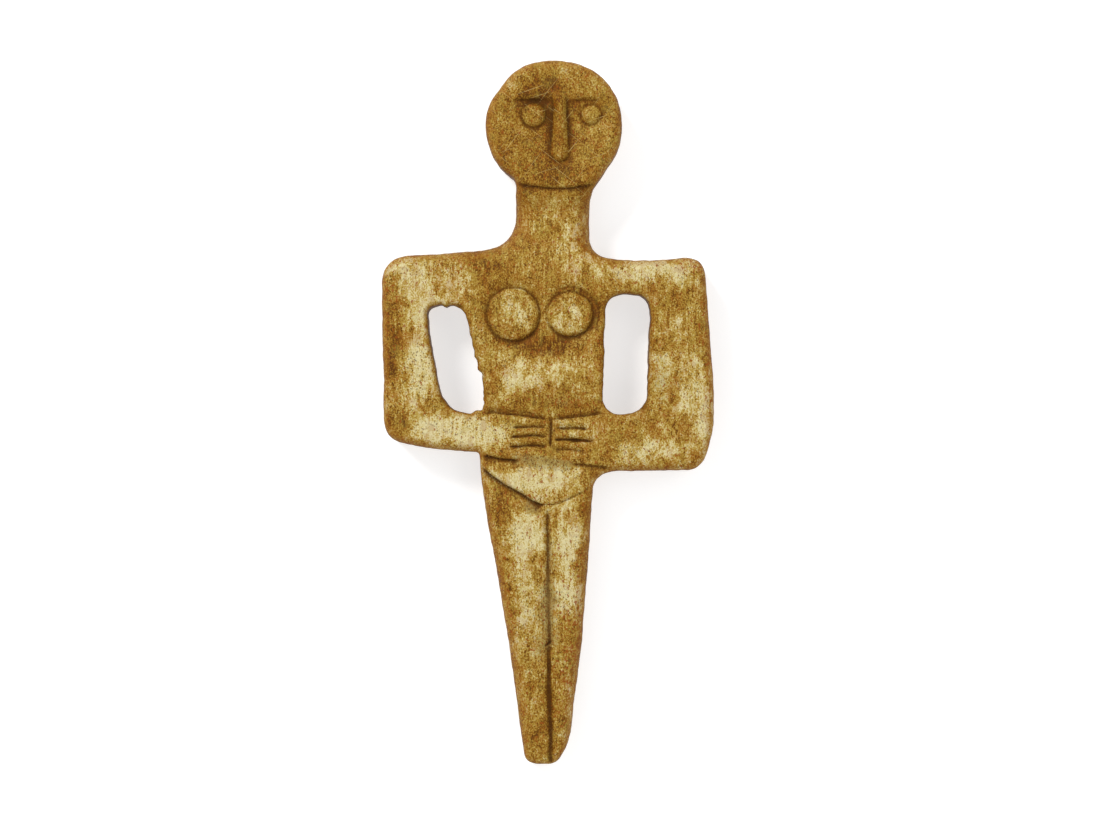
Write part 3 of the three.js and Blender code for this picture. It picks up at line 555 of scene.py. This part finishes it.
red_patches = (
    (4.2, 18.0, 2.2, 11.0, 0.8), (-6.6, 28.0, 1.2, 7.0, 0.5), (-26.5, 80.0, 2.4, 4.0, 0.55),
    (27.0, 72.0, 1.6, 12.0, 0.6), (25.0, 85.5, 2.6, 1.6, 0.8), (6.2, 37.0, 1.0, 5.0, 0.5),
    (-1.9, 46.6, 1.2, 2.2, 0.7), (-14.0, 84.8, 4.0, 1.4, 0.4),
)

strayed = places[:, :2].T + np.array([
    1.5 * noise.noise_vector(Vector((x / 4.0, y / 5.0, z / 4.0)))
    + 0.7 * noise.noise_vector(Vector((x / 1.2, y / 1.6, z / 1.2)))
    for x, y, z in places
]).T[:2]


def patches(kinds, most):
    """The patches of one kind on the front, with ragged outlines."""
    total = sum(strength * mound(*strayed, (px, py), reach) for px, py, *reach, strength in kinds)
    return np.clip(total, 0, most) * shown_front


on_rest = 1 - shown_front
patina_and_shade = {
    "groove": groove,
    "hollow": hollow,
    "edge": edge,
    "broken": broken_skin,
    "cream": patches(cream_patches, 1.2) + 0.25 * on_rest,
    "brown": patches(brown_patches, 1.2) + 0.3 * on_rest,
    "crust": patches(crust_patches, 1.0),
    "red": patches(red_patches, 1.0) + 0.2 * on_rest,
}

# The frame's origin is under the middle of the figure's length and width, in metres.
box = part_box("figurine")
middle = (outline.min(axis=0) + outline.max(axis=0)) / 2
places[:, :2] += np.array([(low + high) / 2 for low, high in zip(box[0][:2], box[1][:2])]) * 1000 - middle
mesh = bpy.data.meshes.new("carved_bone")
mesh.from_pydata((places / 1000).tolist(), [], triangles.tolist())
mesh.shade_smooth()
for name, values in patina_and_shade.items():
    mesh.attributes.new(name, "FLOAT", "POINT").data.foreach_set("value", values.astype(np.float32))
figurine = bpy.data.objects.new("carved_bone", mesh)
bpy.context.scene.collection.objects.link(figurine)
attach(figurine, "root")
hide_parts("figurine")

# THE BONE ITSELF
# Dense bone with fine open grain up and down the figure, stained in clouds and streaks, and rubbed to a
# dull sheen where it is palest. Painted shade lies in its cuts and hollows and round its edges.
# Hair-fine pale scratches cross the head and the neck.

material = bpy.data.materials.new("aged_bone")
material.use_nodes = True
tree = material.node_tree


class Term:
    """A number or a colour at each point of the bone, which can be reckoned with like a number."""

    def __init__(self, socket):
        self.socket = socket

    @staticmethod
    def feed(pin, value):
        if isinstance(value, Term):
            tree.links.new(value.socket, pin)
        else:
            pin.default_value = value

    @staticmethod
    def node(kind, settings=None, output=0, **inputs):
        made = tree.nodes.new("ShaderNode" + kind)
        for name, value in (settings or {}).items():
            setattr(made, name, value)
        for name, value in inputs.items():
            pin = made.inputs[int(name[1:])] if name[1:].isdigit() else made.inputs[name.replace("_", " ")]
            Term.feed(pin, value)
        return Term(made.outputs[output])

    def reckon(self, operation, first, second, clamp=False):
        return Term.node("Math", {"operation": operation, "use_clamp": clamp}, s0=first, s1=second)

    def __add__(self, other):
        return self.reckon("ADD", self, other)

    __radd__ = __add__

    def __sub__(self, other):
        return self.reckon("SUBTRACT", self, other)

    def __rsub__(self, other):
        return self.reckon("SUBTRACT", other, self)

    def __mul__(self, other):
        return self.reckon("MULTIPLY", self, other)

    __rmul__ = __mul__

    def clipped(self):
        return self.reckon("ADD", self, 0.0, clamp=True)

    def rising(self, low, high):
        """0 below low and 1 above high, with a soft climb between them."""
        settings = {"interpolation_type": "SMOOTHSTEP"}
        ends = {"From_Min": low, "From_Max": high, "To_Min": 0.0, "To_Max": 1.0}
        return Term.node("MapRange", settings, Value=self, **ends)


def toned(red, green, blue):
    """A colour named by its screen values, as the renderer reads it."""
    return (*((part / 255) ** 2.2 for part in (red, green, blue)), 1.0)


def laid(under, over, share):
    """One colour laid over another."""
    return Term.node("Mix", {"data_type": "RGBA"}, 2, Factor=share, s6=under, s7=over)


def stretched(across, along, through):
    """Where a point lies, counted in spots of a pattern, of which so many fit in a millimetre each way."""
    where = Term.node("TexCoord", None, 3)
    scale = (across * 1000, along * 1000, through * 1000)
    return Term.node("VectorMath", {"operation": "MULTIPLY"}, s0=where, s1=scale)


def clouds(where, detail, rough, warp=0.0):
    """Soft random patches, about a half on the whole."""
    shape = {"Detail": detail, "Roughness": rough, "Distortion": warp}
    return Term.node("TexNoise", None, 0, Vector=where, Scale=1.0, **shape)


def worn(name):
    """Rubbing, breaks, patina and painted shade at each point, as the mesh gives them."""
    return Term.node("Attribute", {"attribute_name": name}, 2)


def turned(where, degrees):
    """The same place read along a slanted direction."""
    settings = {"rotation_type": "Z_AXIS"}
    return Term.node("VectorRotate", settings, Vector=where, Angle=math.radians(degrees))


broad = clouds(stretched(0.14, 0.11, 0.14), 3.0, 0.6, 0.6)
blotches = clouds(stretched(0.42, 0.3, 0.42), 5.0, 0.6, 0.9)
flecks = clouds(stretched(1.15, 0.8, 1.15), 5.0, 0.66, 0.7)
specks = clouds(stretched(4.2, 3.2, 4.2), 3.0, 0.75)
fibres = clouds(stretched(2.6, 0.17, 2.6), 4.0, 0.62, 0.3)
chips = clouds(stretched(2.4, 1.6, 2.4), 2.0, 0.5, 0.4)
warmth = clouds(stretched(0.6, 0.36, 0.6), 4.0, 0.62, 0.5)
pitted = clouds(stretched(0.27, 0.22, 0.27), 4.0, 0.6, 0.5)
pitting = Term.node("TexVoronoi", None, 0, Vector=stretched(2.5, 1.9, 2.5), Scale=1.0, Randomness=1.0)

groove, hollow, edge = worn("groove"), worn("hollow"), worn("edge")
cream, brown, crust, red, broken = (worn(name) for name in ("cream", "brown", "crust", "red", "broken"))

# How pale the bone is, from darkest at 0 to rubbed cream at 1: stains and mottling, painted shade in
# the broad hollows, a little paler where it stands proud, and darker towards the edges.
height_up = Term.node("SeparateXYZ", None, 1, Vector=stretched(1.0, 1.0, 1.0))
mottled = 0.85 * (blotches - 0.5) + 1.2 * (flecks - 0.5) + 2.6 * (specks - 0.5)
on_body = 1.0 - 0.65 * height_up.rising(32.0, 40.0)
streaked = 1.15 * (fibres - 0.5) * (0.3 + broad.rising(0.4, 0.58)) * on_body
pale = 0.385 + 0.7 * (broad - 0.5) + mottled + streaked
pale = pale + 0.52 * (cream + 1.1 * (blotches - 0.5) + 0.7 * (flecks - 0.5)).rising(0.04, 0.85)
pale = pale - 0.32 * (brown + 1.0 * (flecks - 0.5)).rising(0.1, 0.7)
# Painted shade: darker down in the broad hollows, and a little paler where the surface stands proud.
pale = pale - 0.28 * hollow.rising(0.05, 0.5) + 0.06 * hollow.rising(-0.02, -0.25)
# Darker towards the edges.
pale = pale - 0.16 * edge.rising(0.25, 0.95)

UMBER, BROWN, OCHRE = toned(86, 50, 0), toned(120, 78, 10), toned(150, 111, 36)
HONEY, SAND, CREAM = toned(170, 138, 60), toned(189, 166, 98), toned(211, 199, 150)
bands = (
    (BROWN, -0.08, 0.12), (OCHRE, 0.12, 0.32), (HONEY, 0.32, 0.54), (SAND, 0.54, 0.74), (CREAM, 0.74, 0.98),
)
colour = UMBER
for tone, low, high in bands:
    colour = laid(colour, tone, pale.rising(low, high))

# The stain is rusty in some places, most of all along the edges, and olive in others.
RUST, OLIVE = toned(146, 88, 22), toned(164, 140, 60)
rim = edge.rising(0.05, 0.4) - 0.6 * edge.rising(0.6, 0.95)
rusty = (warmth + 0.32 * rim + 0.7 * (flecks - 0.5)).rising(0.5, 0.66)
colour = laid(colour, RUST, 0.36 * rusty)
colour = laid(colour, OLIVE, 0.3 * warmth.rising(0.47, 0.34))

# Over the stain lie the grey-green crust and the red-brown flecks, and painted shade darkens the edges
# and the side walls.
CRUST, RED_FLECK, PAINTED_EDGE_SHADE = toned(142, 128, 80), toned(138, 72, 18), toned(84, 50, 10)
crusted = (crust + 1.1 * (blotches - 0.5) + 0.8 * (flecks - 0.5)).rising(0.2, 0.65)
colour = laid(colour, CRUST, 0.6 * crusted * (0.35 + 0.65 * specks.rising(0.4, 0.56)))
colour = laid(colour, RED_FLECK, 0.85 * (0.15 * red + chips).rising(0.635, 0.67))
# Painted shade on the edges and the side walls, which turn away from the light.
colour = laid(colour, PAINTED_EDGE_SHADE, 0.62 * (edge + 0.5 * (flecks - 0.5)).rising(0.5, 0.95))

# Soil fills the cuts and the open pores, and clings where the skin is broken; in the cuts painted shade
# is laid with it, darkest in the deepest.
SOIL_AND_SHADE, DEEP_SOIL_AND_SHADE, PORE, BROKEN = toned(82, 50, 6), toned(54, 30, 0), toned(88, 54, 8), toned(98, 62, 18)
# Soil and painted shade in the narrow cuts, and a darker painted shade with soil in the deepest.
soil_and_shade = (groove + 0.3 * (specks - 0.5)).rising(0.03, 0.24)
colour = laid(colour, SOIL_AND_SHADE, soil_and_shade * (0.6 + 0.3 * specks.rising(0.6, 0.4)))
colour = laid(colour, DEEP_SOIL_AND_SHADE, 0.65 * groove.rising(0.17, 0.38))
pores = (1.0 - pitting.rising(0.17, 0.33)) * (0.2 + pitted.rising(0.45, 0.58) + 0.8 * crusted).clipped()
colour = laid(colour, PORE, 0.66 * pores)
colour = laid(colour, BROKEN, 0.5 * broken * specks.rising(0.4, 0.6))

# Scratches: thin pale lines in three slants, most of them on the head and the neck.
SCRATCH = toned(222, 192, 118)
scratched = 0
for degrees, shift in ((38, 3.0), (-52, 11.0), (71, 23.0)):
    slanted = turned(stretched(1.0, 1.0, 1.0), degrees)
    drawn = {"operation": "MULTIPLY_ADD"}
    fine = Term.node("VectorMath", drawn, s0=slanted, s1=(7.0, 0.11, 0.4), s2=(shift, shift, 0))
    scratched = scratched + clouds(fine, 1.0, 0.4, 0.1).rising(0.71, 0.77)
scratched = (scratched * (0.2 + 0.8 * height_up.rising(24.0, 36.0))).clipped() * edge.rising(0.5, 0.15)
colour = laid(colour, SCRATCH, 0.5 * scratched)

roughness = 0.58 + 0.16 * (specks - 0.5) - 0.1 * pale.rising(0.6, 1.0) + 0.2 * groove.rising(0.02, 0.2)
relief = 0.4 * fibres + 0.6 * flecks + 0.6 * specks - 0.8 * pores - 0.3 * scratched
bump = Term.node("Bump", None, 0, Strength=0.65, Distance=0.00016, Height=relief)
shader = tree.nodes["Principled BSDF"]
shader.inputs["Specular IOR Level"].default_value = 0.14
Term.feed(shader.inputs["Base Color"], colour)
Term.feed(shader.inputs["Roughness"], roughness)
Term.feed(shader.inputs["Normal"], bump)
mesh.materials.append(material)

# THE TABLE IT LIES ON
# A sheet of matt white plastic, lit a little from below as a studio's light table is, so that it glows. It
# runs out of view all round and shows through the openings, a hair's breadth under the figurine's back.

half = 3
table_corners = [(-half, -half, 0), (half, -half, 0), (half, half, 0), (-half, half, 0)]
table_mesh = bpy.data.meshes.new("table")
table_mesh.from_pydata(table_corners, [], [(0, 1, 2, 3)])
table = bpy.data.objects.new("table", table_mesh)
hair_gap = 0.00005
table.location.z = -hair_gap
bpy.context.scene.collection.objects.link(table)
table_paint = bpy.data.materials.new("white_table")
table_paint.use_nodes = True
paint = table_paint.node_tree.nodes["Principled BSDF"].inputs
paint["Base Color"].default_value = (0.62, 0.62, 0.62, 1)
paint["Roughness"].default_value = 0.9
paint["Emission Color"].default_value = (1, 1, 1, 1)
paint["Emission Strength"].default_value = 0.6
table_mesh.materials.append(table_paint)

# LIGHTS AND CAMERA
# A small key lamp over the figure's upper left, two wide weak ones over its right side and its feet, and a
# pale room all round; the camera looks straight down, from far enough off that the sides hardly show.


def lamp(name, place, width, power):
    light = bpy.data.lights.new(name, "AREA")
    light.size = width
    light.energy = power
    holder = bpy.data.objects.new(name, light)
    holder.location = place
    holder.rotation_euler = (-Vector(place)).to_track_quat("-Z", "Y").to_euler()
    bpy.context.scene.collection.objects.link(holder)


lamp("key", (-0.55, 0.65, 0.7), width=0.3, power=8.0)
lamp("fill", (0.7, 0.1, 0.8), width=0.8, power=3.2)
lamp("foot", (-0.1, -0.8, 0.7), width=0.8, power=2.0)

room = bpy.data.worlds.new("pale_room")
room.use_nodes = True
room.node_tree.nodes["Background"].inputs["Color"].default_value = (1, 1, 1, 1)
room.node_tree.nodes["Background"].inputs["Strength"].default_value = 0.45
bpy.context.scene.world = room
bpy.context.scene.view_settings.view_transform = "Standard"

# A pixel of the photo spans this much of the figurine at the height of its carved front.
PHOTO_PIXEL, PHOTO_WIDTH = 0.17 / 1000, 1100
PHOTO_MIDDLE, FRONT_HEIGHT = (0.00038, 0.0001), 0.0085
lens = bpy.data.cameras.new("camera")
lens.sensor_width = 36
lens.lens = 120
lens.clip_start = 0.01
camera = bpy.data.objects.new("camera", lens)
camera.location = (*PHOTO_MIDDLE, PHOTO_WIDTH * PHOTO_PIXEL * lens.lens / lens.sensor_width + FRONT_HEIGHT)
bpy.context.scene.collection.objects.link(camera)
bpy.context.scene.camera = camera
